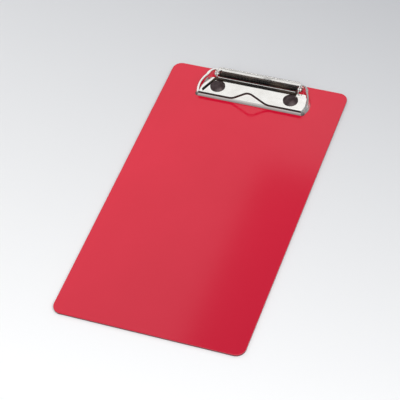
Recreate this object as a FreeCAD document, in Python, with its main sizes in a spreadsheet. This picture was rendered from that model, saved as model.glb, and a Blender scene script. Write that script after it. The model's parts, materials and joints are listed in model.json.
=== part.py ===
import FreeCAD, Part
import math
import os
import re
import Sketcher

# A slip-size clipboard: a thin plastic board with a low spring clip riveted to one end.
# X runs across the board, Y towards the clip, Z up. The origin is under the board's middle.

SIZES = {
    # the board
    "board_width": 120.0,
    "board_length": 220.0,
    "board_thick": 1.6,
    "board_corner": 6.0,
    "board_edge": 0.3,
    # the rivets that hold the clip
    "rivet_pitch": 50.0,
    "rivet_place": 94.3,
    "cap_dia": 9.9,
    "cap_rise": 2.2,
    "cap_rim": 0.5,
    "post_dia": 4.0,
    "post_gap": 0.1,
    "stud_dia": 2.4,
    "stud_fit": 0.05,
    "stud_short": 0.1,
    "flange_dia": 7.6,
    "flange_thick": 0.6,
    # the base plate, 0.8 mm sheet
    "sheet": 0.8,
    "plate_front": 84.9,
    "plate_rear": 101.6,
    "plate_half_front": 35.4,
    "plate_half_rear": 34.0,
    "plate_corner": 2.4,
    "plate_bow": 48.0,
    "hem_half": 27.2,
    "hem_root": 1.0,
    "hem_rear": 102.5,
    "hem_rise": 1.4,
    "ear_out": 28.4,
    "ear_front": 101.25,
    "ear_clear": 0.3,
    "ear_shoulder": 1.6,
    "ear_shoulder_rise": 1.1,
    # the hinge
    "hinge_place": 104.1,
    "hinge_height": 2.3,
    "rod_dia": 1.5,
    "rod_half": 30.1,
    "rod_head_dia": 2.2,
    "rod_head_thick": 0.4,
    "pin_fit": 0.04,
    "knuckle_radius": 1.7,
    # the torsion spring wound round the rod
    "wire_dia": 0.86,
    "coil_mean": 2.42,
    "coil_pitch": 1.0,
    "coil_turns": 53.0,
    "foot_dia": 1.1,
    "foot_reach": 3.5,
    "foot_drop": 2.11,
    "foot_over": 28.7,
    "foot_tip_dia": 1.0,
    "foot_tip_out": 5.0,
    "foot_tip_along": 11.7,
    "leg_back": 1.6,
    # the clamp lever, one pressed frame of the same sheet, with heights above the board
    "jaw_gap": 0.15,
    "jaw_front": 83.3,
    "jaw_lean": 30.0,
    "jaw_half": 37.6,
    "jaw_back": 106.9,
    "jaw_half_back": 35.4,
    "ear_bow": 14.0,
    "rim_height": 1.93,
    "rim_half": 36.7,
    "rim_back": 106.9,
    "rim_half_back": 34.9,
    "rim_bow": 19.0,
    "rim_tilt": 5.75,
    "rim_edge": 0.4,
    "frame_corner": 2.4,
    "frame_turn": 6.0,
    "arm_width": 2.0,
    "skirt_end": 95.0,
    "skirt_back": 102.7,
    "skirt_rise": 3.0,
    "skirt_bow": 12.0,
    "wall_corner": 0.2,
    # the rolled lip and the hinge tabs
    "lip_half": 28.0,
    "lip_slot": 0.8,
    "lip_low": 1.6,
    "lip_root": 2.9,
    "lip_lap": 0.4,
    "lip_lean": 0.95,
    "lip_roll": 4.5,
    "lip_radius": 0.6,
    "lip_sheet": 0.5,
    "tab_in": 28.8,
    "tab_rise": 1.3,
    # the dark strip on the jaw's top edge, bent up into a peak, measured to its middle line
    "strip_front": 84.0,
    "strip_thick": 0.7,
    "strip_wide": 1.1,
    "strip_level": 2.55,
    "strip_half": 35.0,
    "peak_half": 14.0,
    "peak_foot": 7.8,
    "peak_flank": 9.5,
    "peak_rise": 1.55,
    "peak_slope": 35.4,
    "peak_tip": 2.6,
    "peak_shoulder": 6.45,
    "peak_round": 4.5,
    # how far a cutting sketch runs past the metal
    "spare": 1.0,
}

RIM_FRONT = "(jaw_front + (rim_height - jaw_gap) * tan(jaw_lean))"
WORD = re.compile(r"\b(?!sin|cos|tan|sqrt|abs\b)([a-z][a-z_]+)\b")


def link(text):
    """Turn an expression in plain size names into one that reads the sheet's cells."""
    return WORD.sub(r"Sizes.\1", text)


def write_sheet(doc):
    """Put every driving dimension in the sheet, as a plain number with an alias."""
    sheet = doc.addObject("Spreadsheet::Sheet", "Sizes")
    for row, (alias, value) in enumerate(SIZES.items(), start=1):
        sheet.set(f"A{row}", alias)
        sheet.set(f"B{row}", str(value))
        sheet.setAlias(f"B{row}", alias)
    doc.recompute()
    return sheet


def size(text):
    """The present value of an expression in size names."""
    result = FreeCAD.ActiveDocument.Sizes.evalExpression(link(text))
    return float(getattr(result, "Value", result))


def bind(item, prop, text):
    """Bind a property to an expression in size names."""
    item.setExpression(prop, link(text))


def new_body(doc, name):
    body = doc.addObject("PartDesign::Body", name)
    body.Label = name
    return body


def origin_plane(body, role):
    return next(item for item in body.Origin.OriginFeatures if item.Role == role)


def new_sketch(body, name, role, shift=None, tilt=None):
    """A sketch on an origin plane. shift moves it along its own x, y or z; tilt turns it about x."""
    sketch = body.newObject("Sketcher::SketchObject", name)
    sketch.AttachmentSupport = [(origin_plane(body, role), "")]
    sketch.MapMode = "FlatFace"
    for axis, text in (shift or {}).items():
        bind(sketch, f"AttachmentOffset.Base.{axis}", text)
    if tilt:
        sketch.AttachmentOffset = FreeCAD.Placement(
            FreeCAD.Vector(), FreeCAD.Rotation(FreeCAD.Vector(1, 0, 0), 1.0))
        bind(sketch, "AttachmentOffset.Rotation.Angle", tilt)
    return sketch


def pin_point(sketch, edge, end, across, up, name):
    """Fix one end of an edge at two bound coordinates."""
    for kind, text, part in (("DistanceX", across, "x"), ("DistanceY", up, "y")):
        index = sketch.addConstraint(Sketcher.Constraint(kind, edge, end, size(text)))
        sketch.renameConstraint(index, f"{name}_{part}")
        bind(sketch, f"Constraints.{name}_{part}", text)


def bowed_edge(start, finish, radius, centre):
    """An arc that bows away from the centre, or towards it if the radius is negative.

    It is drawn anticlockwise, so the second result says whether it begins at the start.
    """
    across = finish - start
    left = FreeCAD.Vector(-across.y, across.x, 0).normalize()
    bows_left = (left.dot((start + finish) * 0.5 - centre) > 0) == (radius > 0)
    reach = math.sqrt(radius * radius - across.Length ** 2 / 4)
    middle = (start + finish) * 0.5 + left * (-reach if bows_left else reach)
    first, last = (finish, start) if bows_left else (start, finish)
    angles = [math.atan2(point.y - middle.y, point.x - middle.x) for point in (first, last)]
    if angles[1] < angles[0]:
        angles[1] += 2 * math.pi
    circle = Part.Circle(middle, FreeCAD.Vector(0, 0, 1), abs(radius))
    return Part.ArcOfCircle(circle, *angles), not bows_left


def draw_outline(sketch, corners, bows=None, tag="p"):
    """A closed outline through bound corners. bows gives the radius of an arc after a corner."""
    bows = bows or {}
    points = [FreeCAD.Vector(size(across), size(up), 0) for across, up in corners]
    centre = sum(points, FreeCAD.Vector()) * (1 / len(points))
    edges, ends = [], []
    for index, start in enumerate(points):
        finish = points[(index + 1) % len(points)]
        shape, forward = Part.LineSegment(start, finish), True
        if index in bows:
            shape, forward = bowed_edge(start, finish, size(bows[index]), centre)
        edges.append(sketch.addGeometry(shape))
        ends.append((1, 2) if forward else (2, 1))
    for index, edge in enumerate(edges):
        after = (index + 1) % len(edges)
        sketch.addConstraint(Sketcher.Constraint(
            "Coincident", edge, ends[index][1], edges[after], ends[after][0]))
    for index, (across, up) in enumerate(corners):
        pin_point(sketch, edges[index], ends[index][0], across, up, f"{tag}{index}")
    for index, text in bows.items():
        radius = text.lstrip("-")
        number = sketch.addConstraint(Sketcher.Constraint("Radius", edges[index], size(radius)))
        sketch.renameConstraint(number, f"{tag}{index}_r")
        bind(sketch, f"Constraints.{tag}{index}_r", radius)


def draw_circle(sketch, across, up, radius, tag="c"):
    middle = FreeCAD.Vector(size(across), size(up), 0)
    edge = sketch.addGeometry(Part.Circle(middle, FreeCAD.Vector(0, 0, 1), size(radius)))
    index = sketch.addConstraint(Sketcher.Constraint("Radius", edge, size(radius)))
    sketch.renameConstraint(index, f"{tag}_r")
    bind(sketch, f"Constraints.{tag}_r", radius)
    pin_point(sketch, edge, 3, across, up, tag)


def pad(body, sketch, length, midplane=False, reverse=False):
    feature = body.newObject("PartDesign::Pad", sketch.Name + "Pad")
    feature.Profile = sketch
    bind(feature, "Length", length)
    feature.Midplane = midplane
    feature.Reversed = reverse
    sketch.Visibility = False
    return feature


def cut(doc, body, sketch, length, midplane=False, reverse=False):
    """A pocket that has to take material away."""
    doc.recompute()
    before = body.Shape.Volume
    feature = body.newObject("PartDesign::Pocket", sketch.Name + "Cut")
    feature.Profile = sketch
    bind(feature, "Length", length)
    feature.Midplane = midplane
    feature.Reversed = reverse
    doc.recompute()
    if body.Shape.Volume > before - 1e-3:
        raise ValueError(f"{feature.Name} cuts nothing")
    return feature


def turn(body, sketch, axis):
    """A full revolution about one of the sketch's own axes."""
    feature = body.newObject("PartDesign::Revolution", sketch.Name + "Turn")
    feature.Profile = sketch
    feature.ReferenceAxis = (sketch, [axis])
    feature.Angle = 360.0
    return feature


def mirror(body, features):
    """The same features again on the other side of the middle."""
    feature = body.newObject("PartDesign::Mirrored", features[0].Name + "Mirror")
    feature.Originals = features
    feature.MirrorPlane = (origin_plane(body, "YZ_Plane"), [""])
    body.Tip = feature
    return feature


def round_edges(doc, body, radius, wanted):
    """Fillet the edges of the present tip that a test picks."""
    doc.recompute()
    base = body.Tip
    names = [f"Edge{n}" for n, edge in enumerate(base.Shape.Edges, start=1) if wanted(edge)]
    if not names:
        raise ValueError(f"no edge to round on {base.Name}")
    feature = body.newObject("PartDesign::Fillet", base.Name + "Round")
    feature.Base = (base, names)
    bind(feature, "Radius", radius)
    doc.recompute()
    return feature


def is_upright(edge):
    ends = [vertex.Point for vertex in edge.Vertexes]
    return len(ends) == 2 and abs(ends[0].z - ends[1].z) > 0.6 * edge.Length


def rivet_holes(doc, body, name, radius, depth, level, reverse):
    """A pair of round holes at the rivets, from one level downwards or upwards."""
    sketch = new_sketch(body, name, "XY_Plane", {"z": level})
    draw_circle(sketch, "-rivet_pitch / 2", "rivet_place", radius, "left")
    draw_circle(sketch, "rivet_pitch / 2", "rivet_place", radius, "right")
    return cut(doc, body, sketch, depth, reverse=reverse)


def make_board(doc):
    """The plastic board, with a counterbored hole under each rivet."""
    body = new_body(doc, "board")
    sketch = new_sketch(body, "BoardPlan", "XY_Plane")
    side, end = "board_width / 2", "board_length / 2"
    draw_outline(sketch, [(f"-{side}", f"-{end}"), (side, f"-{end}"), (side, end), (f"-{side}", end)])
    pad(body, sketch, "board_thick")
    round_edges(doc, body, "board_corner", is_upright)
    round_edges(doc, body, "board_edge", lambda edge: not is_upright(edge))
    rivet_holes(doc, body, "BoardHoles", "post_dia / 2 + post_gap", "board_thick", "0", True)
    rivet_holes(doc, body, "BoardBores", "flange_dia / 2 + post_gap", "flange_thick", "0", True)


def make_base_plate(doc):
    """The fixed plate under the lever: a flat sheet, a turned-up hem and two hinge ears."""
    body = new_body(doc, "base_plate")
    plan = new_sketch(body, "PlatePlan", "XY_Plane", {"z": "board_thick"})
    draw_outline(plan, [("-plate_half_front", "plate_front"), ("plate_half_front", "plate_front"),
                        ("plate_half_rear", "plate_rear"), ("-plate_half_rear", "plate_rear")],
                 {1: "plate_bow", 3: "plate_bow"})
    pad(body, plan, "sheet")
    round_edges(doc, body, "plate_corner", is_upright)

    hem = new_sketch(body, "PlateHem", "YZ_Plane")
    top = "board_thick + hem_rise"
    draw_outline(hem, [("plate_rear - hem_root", "board_thick"), ("hem_rear - sheet", "board_thick"),
                       ("hem_rear", "board_thick + sheet"), ("hem_rear", top),
                       ("hem_rear - sheet / 2", top), ("plate_rear", "board_thick + sheet"),
                       ("plate_rear - hem_root", "board_thick + sheet")])
    pad(body, hem, "2 * hem_half", midplane=True)

    ear = new_sketch(body, "PlateEar", "YZ_Plane", {"z": "ear_out - sheet"})
    top = "board_thick + hinge_height + knuckle_radius"
    draw_outline(ear, [("ear_front", "board_thick"), ("hinge_place", "board_thick + ear_clear"),
                       ("hinge_place", top),
                       ("hinge_place - ear_shoulder", "board_thick + hinge_height + ear_shoulder_rise"),
                       ("ear_front", "board_thick + sheet")])
    ear_pad = pad(body, ear, "sheet")
    eye = new_sketch(body, "PlateEye", "YZ_Plane", {"z": "ear_out - sheet"})
    draw_circle(eye, "hinge_place", "board_thick + hinge_height", "knuckle_radius")
    eye_pad = pad(body, eye, "sheet")
    mirror(body, [ear_pad, eye_pad])
    bore = new_sketch(body, "PlateBore", "YZ_Plane")
    draw_circle(bore, "hinge_place", "board_thick + hinge_height", "rod_dia / 2 + pin_fit")
    cut(doc, body, bore, "4 * ear_out", midplane=True)
    rivet_holes(doc, body, "PlateHoles", "post_dia / 2 + post_gap", "2 * sheet", "board_thick", True)


def frame_outline(sketch, half, front, half_back, back, bow, inset):
    """A frame seen from above: rounded corners and bowed sides, drawn in by an inset."""
    corner, turn = f"(frame_corner - {inset})", f"(frame_turn - {inset})"
    half, front = f"({half} - {inset})", f"({front} + {inset})"
    half_back, back = f"({half_back} - {inset})", f"({back} - {inset})"
    right = [(f"{half} - {corner}", front), (half, f"{front} + {corner}"),
             (half_back, f"{back} - {turn}"), (f"{half_back} - {turn}", back)]
    left = [(f"-({across})", up) for across, up in reversed(right)]
    bow = f"{bow} - {inset}"
    draw_outline(sketch, right + left, {0: corner, 1: bow, 2: turn, 4: turn, 5: bow, 6: corner})


def lever_outlines(body, name, inset):
    """The lever's outline at the board and, tilted, at its rim."""
    foot = new_sketch(body, f"{name}Foot", "XY_Plane", {"z": "board_thick + jaw_gap"})
    frame_outline(foot, "jaw_half", "jaw_front", "jaw_half_back", "jaw_back", "ear_bow", inset)
    back_off = f"{inset} * tan(jaw_lean)"
    rim = new_sketch(body, f"{name}Rim", "XY_Plane",
                     {"y": f"{RIM_FRONT} - {back_off}", "z": f"board_thick + rim_height - {inset}"},
                     "rim_tilt")
    slope = f"(rim_back - {RIM_FRONT} + {back_off}) / cos(rim_tilt)"
    frame_outline(rim, "rim_half", "0", "rim_half_back", slope, "rim_bow", inset)
    return foot, rim


def loft(doc, body, kind, name, foot, rim):
    doc.recompute()
    feature = body.newObject(f"PartDesign::{kind}Loft", name)
    feature.Profile = foot
    feature.Sections = [rim]
    feature.Ruled = True
    doc.recompute()
    return feature


def make_clamp_lever(doc):
    """The moving frame: a jaw in front, two arms, and hinge tabs and a rolled lip behind."""
    body = new_body(doc, "clamp_lever")
    loft(doc, body, "Additive", "LeverBlock", *lever_outlines(body, "Outer", "0"))
    loft(doc, body, "Subtractive", "LeverHollow", *lever_outlines(body, "Inner", "sheet"))
    cut_window(doc, body)
    cut_skirt(doc, body)
    add_lip(doc, body)
    add_hinge_tabs(doc, body)


def rim_sketch(body, name, drop):
    """A sketch on the lever's sloping top, or a drop below it."""
    return new_sketch(body, name, "XY_Plane",
                      {"y": RIM_FRONT, "z": f"board_thick + rim_height - {drop}"}, "rim_tilt")


def cut_window(doc, body):
    """Open the frame's top between the arms."""
    window = rim_sketch(body, "LeverWindow", "0")
    slope = f"(rim_back - {RIM_FRONT}) / cos(rim_tilt) - sheet + arm_width"
    frame_outline(window, "rim_half", "rim_edge - arm_width", "rim_half_back", slope, "rim_bow",
                  "arm_width")
    cut(doc, body, window, "2 * sheet")


def cut_skirt(doc, body):
    """Sweep the sides' lower edge up towards the back, and lift the back wall off the board."""
    side = new_sketch(body, "LeverSide", "YZ_Plane")
    back = "rim_back - sheet - wall_corner"
    under = "board_thick - spare"
    draw_outline(side, [("skirt_end", under), ("skirt_end", "board_thick"),
                        ("skirt_back", "board_thick + skirt_rise"),
                        (back, "board_thick + skirt_rise"), (back, "board_thick + lip_low"),
                        ("rim_back + spare", "board_thick + lip_low"), ("rim_back + spare", under)],
                 {1: "-skirt_bow"})
    cut(doc, body, side, "4 * jaw_half", midplane=True)


def add_lip(doc, body):
    """Roll the top of the back wall over, clear of the arms' ends."""
    wall, edge, over = "rim_back - sheet", "board_thick + lip_root", "board_thick + lip_roll + spare"
    slot = new_sketch(body, "LeverSlot", "YZ_Plane")
    draw_outline(slot, [(f"{wall} - spare", edge), ("rim_back + spare", edge),
                        ("rim_back + spare", over), (f"{wall} - spare", over)])
    cut(doc, body, slot, "2 * (lip_half + lip_slot)", midplane=True)
    lip = new_sketch(body, "LeverLip", "YZ_Plane")
    roll, near = "board_thick + lip_roll", f"{wall} + lip_lean"
    draw_outline(lip, [(wall, f"{edge} - lip_lap"), (wall, edge), (near, roll),
                       (f"{near} + 2 * lip_radius", roll),
                       (f"{near} + 2 * lip_radius - lip_sheet", roll), (f"{near} + lip_sheet", roll),
                       ("rim_back", edge), ("rim_back", f"{edge} - lip_lap")],
                 {2: "lip_radius + 0.0001", 4: "-(lip_radius - lip_sheet + 0.0001)"})
    pad(body, lip, "2 * lip_half", midplane=True)


def add_hinge_tabs(doc, body):
    """A tab in front of each end of the back wall, with an eye that turns on the rod."""
    centre, back = "board_thick + hinge_height", "rim_back - sheet / 2"
    tab = new_sketch(body, "LeverTab", "YZ_Plane", {"z": "tab_in"})
    draw_outline(tab, [("hinge_place", f"{centre} - pin_fit"), (back, centre),
                       (back, f"{centre} + tab_rise"), ("hinge_place", f"{centre} + knuckle_radius")])
    tab_pad = pad(body, tab, "sheet")
    eye = new_sketch(body, "LeverEye", "YZ_Plane", {"z": "tab_in"})
    draw_circle(eye, "hinge_place", centre, "knuckle_radius")
    eye_pad = pad(body, eye, "sheet")
    mirror(body, [tab_pad, eye_pad])
    bore = new_sketch(body, "LeverBore", "YZ_Plane")
    draw_circle(bore, "hinge_place", centre, "rod_dia / 2 + pin_fit")
    cut(doc, body, bore, "4 * ear_out", midplane=True)


def strip_side(side):
    """One long edge of the strip from left to right, a half width above or below its middle."""
    off = f"{side} * strip_wide / 2"
    middle = "(board_thick + strip_level)"
    out, up = f"{off} * sin(peak_slope)", f"{middle} + {off} * cos(peak_slope)"
    right = [(f"(peak_tip + {out})", f"{up} + peak_shoulder"),
             (f"(peak_flank + {out})", f"{up} + peak_rise"),
             ("peak_half", f"{middle} + {off}"), ("strip_half", f"{middle} + {off}")]
    return [(f"-{across}", height) for across, height in reversed(right)] + right


def make_jaw_strip(doc):
    """A flat dark strip that stands on the jaw's top edge and rises to a peak in the middle."""
    body = new_body(doc, "jaw_strip")
    face = new_sketch(body, "StripFace", "XZ_Plane", {"z": "-strip_front"})
    inner, outer = "- strip_wide / 2", "+ strip_wide / 2"
    draw_outline(face, strip_side("-1") + strip_side("1")[::-1],
                 {1: f"-(peak_foot {outer})", 3: f"peak_round {inner}", 5: f"-(peak_foot {outer})",
                  9: f"-(peak_foot {inner})", 11: f"peak_round {outer}",
                  13: f"-(peak_foot {inner})"})
    pad(body, face, "strip_thick", reverse=True)


def make_hinge_rod(doc):
    """The rod with a head at each end, turned about the hinge line."""
    body = new_body(doc, "hinge_rod")
    sketch = new_sketch(body, "RodSide", "XY_Plane",
                        {"y": "hinge_place", "z": "board_thick + hinge_height"})
    neck = "(rod_half - rod_head_thick)"
    draw_outline(sketch, [("-rod_half", "0"), ("-rod_half", "rod_head_dia / 2"),
                          (f"-{neck}", "rod_head_dia / 2"), (f"-{neck}", "rod_dia / 2"),
                          (neck, "rod_dia / 2"), (neck, "rod_head_dia / 2"),
                          ("rod_half", "rod_head_dia / 2"), ("rod_half", "0")])
    turn(body, sketch, "H_Axis")


def make_torsion_spring(doc):
    """A close-wound spring on the rod: a foot along the base plate, a back leg on the lever."""
    coil = doc.addObject("Part::Helix", "CoilLine")
    bind(coil, "Pitch", "coil_pitch")
    bind(coil, "Height", "coil_pitch * coil_turns")
    bind(coil, "Radius", "coil_mean / 2")
    wire = doc.addObject("Part::Circle", "WireRound")
    bind(wire, "Radius", "wire_dia / 2")
    wire.Placement = FreeCAD.Placement(
        FreeCAD.Vector(size("coil_mean / 2"), 0, 0),
        FreeCAD.Rotation(FreeCAD.Vector(1, 0, 0), 90))
    bind(wire, "Placement.Base.x", "coil_mean / 2")
    doc.recompute()
    sweep = doc.addObject("Part::Sweep", "CoilSweep")
    sweep.Sections = [wire]
    sweep.Spine = (coil, [f"Edge{n}" for n in range(1, len(coil.Shape.Edges) + 1)])
    sweep.Solid = True
    sweep.Frenet = True
    drop, reach = size("foot_drop"), size("foot_reach")
    bend = math.degrees(math.atan2(size("foot_tip_along"), size("foot_tip_out")))
    down, ahead, across = FreeCAD.Vector(reach, -drop, 0), FreeCAD.Vector(-1, 0, 0), FreeCAD.Vector(1, 0, 0)
    coil_end, low = "coil_pitch * coil_turns", "coil_mean / 2 - foot_drop"
    left_end = f"{coil_end} / 2 + foot_over"
    rods = []
    for name, radius, length, place, axis, angle in (
            ("FootLeg", "wire_dia / 2", "sqrt(foot_reach^2 + foot_drop^2)",
             ("coil_mean / 2", "0", "0"), down, 90),
            ("BackLeg", "wire_dia / 2", "leg_back", ("coil_mean / 2", "0", coil_end), ahead, 90),
            ("FootRod", "foot_dia / 2", f"{left_end} + foot_dia / 2",
             (low, "-foot_reach", "-foot_dia / 2"), across, 0),
            ("FootTip", "foot_tip_dia / 2", "sqrt(foot_tip_along^2 + foot_tip_out^2)",
             (low, "-foot_reach", left_end), across, bend)):
        rod = doc.addObject("Part::Cylinder", name)
        bind(rod, "Radius", radius)
        bind(rod, "Height", length)
        rod.Placement = FreeCAD.Placement(FreeCAD.Vector(), FreeCAD.Rotation(axis, angle))
        for direction, text in zip("xyz", place):
            bind(rod, f"Placement.Base.{direction}", text)
        rods.append(rod)
    spring = doc.addObject("Part::MultiFuse", "torsion_spring")
    spring.Label = "torsion_spring"
    spring.Shapes = [sweep] + rods
    spring.Placement = FreeCAD.Placement(
        FreeCAD.Vector(), FreeCAD.Rotation(FreeCAD.Vector(0, 1, 0), -90))
    bind(spring, "Placement.Base.x", "coil_pitch * coil_turns / 2")
    bind(spring, "Placement.Base.y", "hinge_place")
    bind(spring, "Placement.Base.z", "board_thick + hinge_height")
    return spring


def make_rivet(doc, side, sign):
    """One rivet: a domed cap with a hollow post, and a flanged stud pressed in from below."""
    cap = new_body(doc, f"rivet_cap_{side}")
    profile = new_sketch(cap, f"Cap{side}Side", "XZ_Plane")
    post, bore = "post_dia / 2", "stud_dia / 2 + stud_fit"
    low = "-(board_thick + sheet - flange_thick)"
    dome = "(cap_dia * cap_dia / 8 / (cap_rise - cap_rim) + (cap_rise - cap_rim) / 2)"
    draw_outline(profile, [("0", "cap_rise"), ("cap_dia / 2", "cap_rim"), ("cap_dia / 2", "0"),
                           (post, "0"), (post, low), (bore, low), (bore, "0"), ("0", "0")],
                 {0: dome})
    turn(cap, profile, "V_Axis")
    bind(cap, "Placement.Base.z", "board_thick + sheet")
    stud = new_body(doc, f"rivet_stud_{side}")
    outline = new_sketch(stud, f"Stud{side}Side", "XZ_Plane")
    top = "board_thick + sheet - stud_short"
    draw_outline(outline, [("0", "0"), ("flange_dia / 2", "0"), ("flange_dia / 2", "flange_thick"),
                           ("stud_dia / 2", "flange_thick"), ("stud_dia / 2", top), ("0", top)])
    turn(stud, outline, "V_Axis")
    for piece in (cap, stud):
        bind(piece, "Placement.Base.x", f"{sign} * rivet_pitch / 2")
        bind(piece, "Placement.Base.y", "rivet_place")


def check_document(doc):
    """Stop if any object failed to build."""
    for item in doc.Objects:
        if "Invalid" in item.State or "Error" in item.State:
            raise ValueError(f"{item.Name} is {item.State}")


def write_parts(doc):
    """Check each sub-part's shape, then write one file for each."""
    parts = [item for item in doc.Objects if item.isDerivedFrom("PartDesign::Body")]
    parts.append(doc.torsion_spring)
    for part in parts:
        if part.Shape.isNull() or not part.Shape.isValid():
            raise ValueError(f"{part.Label} has no valid shape")
    os.makedirs("parts", exist_ok=True)
    for part in parts:
        part.Shape.exportStep(f"parts/{part.Label}.step")
        print(f"{part.Label}: {part.Shape.Volume:.1f} mm3 in {len(part.Shape.Solids)} solid")


doc = FreeCAD.newDocument("clipboard")
write_sheet(doc)
make_board(doc)
make_base_plate(doc)
make_clamp_lever(doc)
make_jaw_strip(doc)
make_hinge_rod(doc)
make_torsion_spring(doc)
make_rivet(doc, "left", "-1")
make_rivet(doc, "right", "1")
doc.recompute()
check_document(doc)
write_parts(doc)
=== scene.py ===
import json
import math
import bpy
from mathutils import Euler, Matrix, Vector


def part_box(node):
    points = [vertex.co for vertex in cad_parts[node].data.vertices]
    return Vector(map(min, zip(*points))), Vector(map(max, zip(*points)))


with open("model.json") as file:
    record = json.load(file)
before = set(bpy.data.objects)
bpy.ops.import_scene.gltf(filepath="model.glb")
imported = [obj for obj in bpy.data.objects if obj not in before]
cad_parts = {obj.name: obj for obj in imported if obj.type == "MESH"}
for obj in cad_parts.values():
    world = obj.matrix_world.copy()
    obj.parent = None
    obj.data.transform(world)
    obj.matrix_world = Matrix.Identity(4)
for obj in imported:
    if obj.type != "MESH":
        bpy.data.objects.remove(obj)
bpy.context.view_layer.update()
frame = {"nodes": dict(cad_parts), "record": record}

# ---------------------------------------------------------------- places, from the frame

BOARD_LOW, BOARD_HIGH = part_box("board")
BOARD_TOP = BOARD_HIGH[2]
CENTRE = Vector((0.0, 0.0, BOARD_TOP))

EDGE_SHADE_DEPTH = 0.0003      # the face colour ends this far below the board's top, where the painted edge shade begins
EDGE_SHADE_BLEND = 0.0004      # and the painted edge shade is at its darkest this much lower
JAW_SHADE_HEIGHTS = (0.0008, 0.0030)    # heights over the board between which the painted shade on the jaw's front face fades out
JAW_SHADE_BACK = (0.0852, 0.0858)    # along the board, where the jaw ends and the painted shade stops
FLOOR_HALF = 3.0
FLOOR_GAP = 0.0001
BOX_HEIGHT = 0.45        # of the two flat panels over the board


def srgb(red, green, blue):
    """A screen colour, 0 to 255, as the linear colour that a shader takes."""
    def linear(value):
        value /= 255
        return value / 12.92 if value <= 0.04045 else ((value + 0.055) / 1.055) ** 2.4
    return (linear(red), linear(green), linear(blue), 1.0)


# ---------------------------------------------------------------- materials

class Shader:
    """A new material with short calls for the nodes that every finish here needs."""

    def __init__(self, name):
        self.material = bpy.data.materials.new(name)
        self.material.use_nodes = True
        self.tree = self.material.node_tree
        self.surface = self.tree.nodes["Principled BSDF"]
        self.place = self.add("ShaderNodeTexCoord").outputs["Object"]

    def add(self, kind, **settings):
        node = self.tree.nodes.new(kind)
        for key, value in settings.items():
            setattr(node, key, value)
        return node

    def link(self, source, target):
        self.tree.links.new(source, target)

    def set(self, **values):
        for key, value in values.items():
            self.surface.inputs[key.replace("_", " ")].default_value = value

    def stretched(self, scale):
        """Object coordinates scaled along each axis, so that a pattern can run one way."""
        node = self.add("ShaderNodeMapping")
        self.link(self.place, node.inputs["Vector"])
        node.inputs["Scale"].default_value = scale
        return node.outputs["Vector"]

    def noise(self, scale, detail=3.0, roughness=0.55, vector=None):
        node = self.add("ShaderNodeTexNoise")
        self.link(vector or self.place, node.inputs["Vector"])
        node.inputs["Scale"].default_value = scale
        node.inputs["Detail"].default_value = detail
        node.inputs["Roughness"].default_value = roughness
        return node.outputs["Fac"]

    def ramp(self, value, low, high, out_low, out_high):
        """A value taken from one range into another and held inside it."""
        node = self.add("ShaderNodeMapRange")
        self.link(value, node.inputs["Value"])
        for key, number in (("From Min", low), ("From Max", high),
                            ("To Min", out_low), ("To Max", out_high)):
            node.inputs[key].default_value = number
        return node.outputs["Result"]

    def mix(self, factor, first, second):
        """One colour or another by a factor. Either may be a socket or a plain colour."""
        node = self.add("ShaderNodeMix", data_type="RGBA")
        self.link(factor, node.inputs["Factor"])
        for socket, colour in ((node.inputs[6], first), (node.inputs[7], second)):
            if isinstance(colour, tuple):
                socket.default_value = colour
            else:
                self.link(colour, socket)
        return node.outputs[2]

    def math(self, operation, first, second):
        node = self.add("ShaderNodeMath", operation=operation)
        for socket, value in zip(node.inputs, (first, second)):
            if isinstance(value, (int, float)):
                socket.default_value = value
            else:
                self.link(value, socket)
        return node.outputs["Value"]

    def bump(self, height, distance, strength=1.0):
        node = self.add("ShaderNodeBump")
        self.link(height, node.inputs["Height"])
        node.inputs["Distance"].default_value = distance
        node.inputs["Strength"].default_value = strength
        self.link(node.outputs["Normal"], self.surface.inputs["Normal"])

    def colour(self, source):
        self.link(source, self.surface.inputs["Base Color"])

    def roughness(self, source):
        self.link(source, self.surface.inputs["Roughness"])


def red_plastic():
    """Glossy sheet: cloudy red, with hairlines; painted shade darkens it towards the front right
    and along its side edges.
    """
    shader = Shader("red_plastic")
    cloud = shader.noise(18.0, 4.0)
    face = shader.mix(shader.ramp(cloud, 0.3, 0.7, 0.0, 1.0),
                      srgb(214, 12, 48), srgb(219, 17, 53))
    # painted shade: the red is darkened towards the front right, where the light falls off across
    # the board
    part = shader.add("ShaderNodeSeparateXYZ")
    shader.link(shader.place, part.inputs["Vector"])
    slant = shader.math("MULTIPLY", part.outputs["Y"], 0.6)
    across = shader.math("SUBTRACT", part.outputs["X"], slant)
    face = shader.mix(shader.ramp(across, -0.06, 0.12, 0.0, 0.8), face, srgb(186, 12, 46))
    # painted shade: the board's side edges are darkened below the top face
    side = shader.ramp(part.outputs["Z"], BOARD_TOP - EDGE_SHADE_DEPTH - EDGE_SHADE_BLEND,
                       BOARD_TOP - EDGE_SHADE_DEPTH, 1.0, 0.0)
    shader.colour(shader.mix(side, face, srgb(96, 8, 24)))
    hairs = shader.noise(60.0, 2.0, vector=shader.stretched((22.0, 0.5, 1.0)))
    worn = shader.ramp(hairs, 0.62, 0.75, 0.0, 0.05)
    base = shader.ramp(shader.noise(90.0, 3.0), 0.3, 0.7, 0.32, 0.38)
    shader.roughness(shader.math("ADD", base, worn))
    shader.bump(shader.noise(420.0, 2.0), 0.00001, 0.2)
    shader.set(IOR=1.5, Specular_IOR_Level=0.05)
    shader.set(Coat_Weight=1.0, Coat_IOR=1.46, Coat_Roughness=0.13)
    return shader.material


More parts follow.
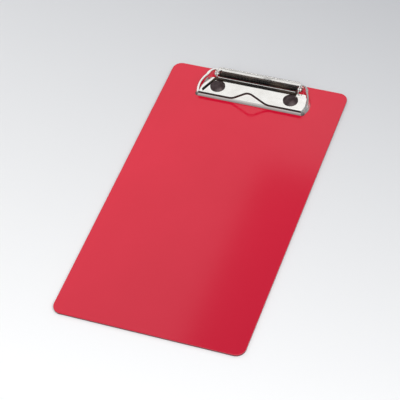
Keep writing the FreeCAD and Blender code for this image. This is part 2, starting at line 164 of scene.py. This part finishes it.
def bright_nickel():
    """Nickel plate over pressed steel: drawn lines along the sheet, dull specks, warm tint, and
    painted shade on the jaw's lower front face.
    """
    shader = Shader("bright_nickel")
    stain = shader.noise(140.0, 4.0)
    plate = shader.mix(shader.ramp(stain, 0.35, 0.7, 0.0, 1.0),
                       srgb(246, 244, 240), srgb(236, 233, 228))
    height = shader.add("ShaderNodeSeparateXYZ")
    shader.link(shader.place, height.inputs["Vector"])
    # painted shade: the jaw's lower front face is greyed up to a ragged height, in place of the
    # darker light it gets there
    rise = shader.math("ADD", height.outputs["Z"], shader.math("MULTIPLY", stain, 0.0004))
    jaw_shade = shader.ramp(rise, BOARD_TOP + JAW_SHADE_HEIGHTS[0], BOARD_TOP + JAW_SHADE_HEIGHTS[1], 1.0, 0.0)
    ahead = shader.ramp(height.outputs["Y"], *JAW_SHADE_BACK, 1.0, 0.0)
    shader.colour(shader.mix(shader.math("MULTIPLY", jaw_shade, ahead), plate, srgb(158, 147, 145)))
    lines = shader.noise(900.0, 2.0, vector=shader.stretched((0.12, 1.0, 1.0)))
    specks = shader.ramp(shader.noise(1500.0, 2.0), 0.62, 0.75, 0.0, 0.12)
    base = shader.ramp(lines, 0.3, 0.7, 0.10, 0.19)
    shader.roughness(shader.math("ADD", base, specks))
    shader.bump(lines, 0.00001, 0.2)
    shader.set(Metallic=1.0)
    return shader.material


def drawn_steel():
    """The rod: bare drawn steel with fine rings of wear."""
    shader = Shader("drawn_steel")
    rings = shader.noise(1200.0, 2.0, vector=shader.stretched((1.0, 0.1, 0.1)))
    shader.colour(shader.mix(shader.ramp(rings, 0.3, 0.7, 0.0, 1.0),
                             srgb(190, 187, 182), srgb(150, 146, 140)))
    shader.roughness(shader.ramp(rings, 0.3, 0.7, 0.2, 0.38))
    shader.bump(rings, 0.00001, 0.3)
    shader.set(Metallic=1.0)
    return shader.material


def dark_wire():
    """Oil-tempered spring wire: near black with brownish patches and a thin film of oil."""
    shader = Shader("dark_wire")
    patch = shader.noise(220.0, 4.0, vector=shader.stretched((0.25, 1.0, 1.0)))
    shader.colour(shader.mix(shader.ramp(patch, 0.42, 0.62, 0.0, 1.0),
                             srgb(38, 36, 36), srgb(84, 72, 62)))
    shader.roughness(shader.ramp(patch, 0.3, 0.7, 0.24, 0.42))
    shader.bump(shader.noise(2600.0, 3.0), 0.00001, 0.3)
    shader.set(Metallic=0.85)
    return shader.material


def shadow_strip():
    """The strip on the jaw, a near-black part standing in for the shade along the jaw's top edge:
    satin black with a fine grain and paler dusty patches.
    """
    shader = Shader("shadow_strip")
    dust = shader.ramp(shader.noise(600.0, 4.0), 0.45, 0.7, 0.0, 1.0)
    # painted shade: this near-black strip stands in for the shadow along the jaw's top edge
    shader.colour(shader.mix(dust, srgb(16, 15, 14), srgb(30, 28, 27)))
    shader.roughness(shader.ramp(dust, 0.0, 1.0, 0.4, 0.6))
    shader.bump(shader.noise(3000.0, 3.0), 0.00002, 0.3)
    return shader.material


def brown_rivet():
    """Dark lacquered caps: warm brown-black with a satin bloom."""
    shader = Shader("brown_rivet")
    bloom = shader.noise(420.0, 4.0)
    shader.colour(shader.mix(shader.ramp(bloom, 0.35, 0.65, 0.0, 1.0),
                             srgb(46, 32, 33), srgb(70, 54, 56)))
    shader.roughness(shader.ramp(shader.noise(900.0, 3.0), 0.3, 0.7, 0.3, 0.42))
    shader.bump(shader.noise(1800.0, 3.0), 0.00002, 0.3)
    shader.set(Metallic=0.3, IOR=1.5)
    return shader.material


def pale_floor():
    """The plain studio floor, with painted shade: white in front, darkening to a light grey
    behind.
    """
    shader = Shader("pale_floor")
    part = shader.add("ShaderNodeSeparateXYZ")
    shader.link(shader.place, part.inputs["Vector"])
    along = shader.math("ADD", part.outputs["Y"], shader.math("MULTIPLY", part.outputs["X"], 0.25))
    along = shader.math("ADD", along, shader.math("MULTIPLY", shader.noise(3.0, 2.0), 0.01))
    # painted shade: the floor colour darkens from front to back in place of the light's falloff
    shader.colour(shader.mix(shader.ramp(along, -0.16, 0.24, 0.0, 1.0),
                             srgb(252, 252, 252), srgb(196, 197, 200)))
    shader.set(Roughness=0.7)
    return shader.material


FINISHES = {
    "board_plastic": red_plastic(),
    "nickel_sheet": bright_nickel(),
    "steel_rod": drawn_steel(),
    "spring_wire": dark_wire(),
    "strip_dark": shadow_strip(),
    "rivet_dark": brown_rivet(),
}


def dress_frame():
    """Give each carried-over CAD node the finish of its slot in the record."""
    slots = {entry["node"]: entry["material_slot"] for entry in frame["record"]["subparts"]}
    for name, node in frame["nodes"].items():
        node.data.materials.clear()
        node.data.materials.append(FINISHES[slots[name]])


# ---------------------------------------------------------------- stage, light and camera

def make_floor():
    """A wide flat floor just under the board."""
    half, level = FLOOR_HALF, BOARD_LOW[2] - FLOOR_GAP
    mesh = bpy.data.meshes.new("floor")
    corners = [(across, along, level) for across, along in
               ((-half, -half), (half, -half), (half, half), (-half, half))]
    mesh.from_pydata(corners, [], [(0, 1, 2, 3)])
    floor = bpy.data.objects.new("floor", mesh)
    bpy.context.scene.collection.objects.link(floor)
    floor.data.materials.append(pale_floor())


def softbox(name, away, target, width, height, power):
    """A rectangular area light, set off from a point that it faces."""
    light = bpy.data.lights.new(name, "AREA")
    light.shape = "RECTANGLE"
    light.size = width
    light.size_y = height
    light.energy = power
    box = bpy.data.objects.new(name, light)
    bpy.context.scene.collection.objects.link(box)
    box.location = Vector(target) + Vector(away)
    box.rotation_euler = Vector(away).to_track_quat("Z", "Y").to_euler()


def light_studio():
    """Soft daylight all round, two flat panels that the board mirrors, and three softboxes."""
    world = bpy.data.worlds.new("studio")
    world.use_nodes = True
    world.node_tree.nodes["Background"].inputs["Color"].default_value = srgb(205, 207, 210)
    world.node_tree.nodes["Background"].inputs["Strength"].default_value = 0.48
    bpy.context.scene.world = world
    softbox("top_box", (0.0, 0.0, BOX_HEIGHT), (-0.46, 0.40, 0.0), 0.68, 0.64, 0.95)
    softbox("clip_box", (0.0, 0.0, BOX_HEIGHT), (-0.04, 0.50, 0.0), 0.16, 0.14, 0.058)
    softbox("side_box", (0.75, 0.6, 0.36), CENTRE, 0.6, 0.4, 0.4)
    softbox("front_box", (-0.3, -1.05, 0.5), CENTRE, 1.0, 0.8, 1.5)
    softbox("over_box", (0.43, -0.43, 1.07), CENTRE, 1.5, 1.2, 14.6)


def place_camera(target, azimuth, elevation, roll, distance, lens):
    """Look at a target from a compass bearing round Z and a height above the floor, in degrees."""
    data = bpy.data.cameras.new("camera")
    data.lens = lens
    data.sensor_width = 36.0
    data.clip_start = 0.01
    data.clip_end = 20.0
    camera = bpy.data.objects.new("camera", data)
    bpy.context.scene.collection.objects.link(camera)
    turn = Euler((0, 0, math.radians(azimuth))).to_matrix()
    tilt = Euler((math.radians(90 - elevation), 0, 0)).to_matrix()
    twist = Euler((0, 0, math.radians(roll))).to_matrix()
    pose = turn @ tilt @ twist
    away = pose @ Vector((0, 0, 1))
    camera.matrix_world = Matrix.Translation(target + away * distance) @ pose.to_4x4()
    bpy.context.scene.camera = camera


dress_frame()
make_floor()
light_studio()
place_camera(CENTRE + Vector((-0.0034, -0.0031, 0.0)), azimuth=23.45, elevation=47.98,
             roll=-5.66, distance=1.0619, lens=154.36)
bpy.context.scene.view_settings.view_transform = "Standard"
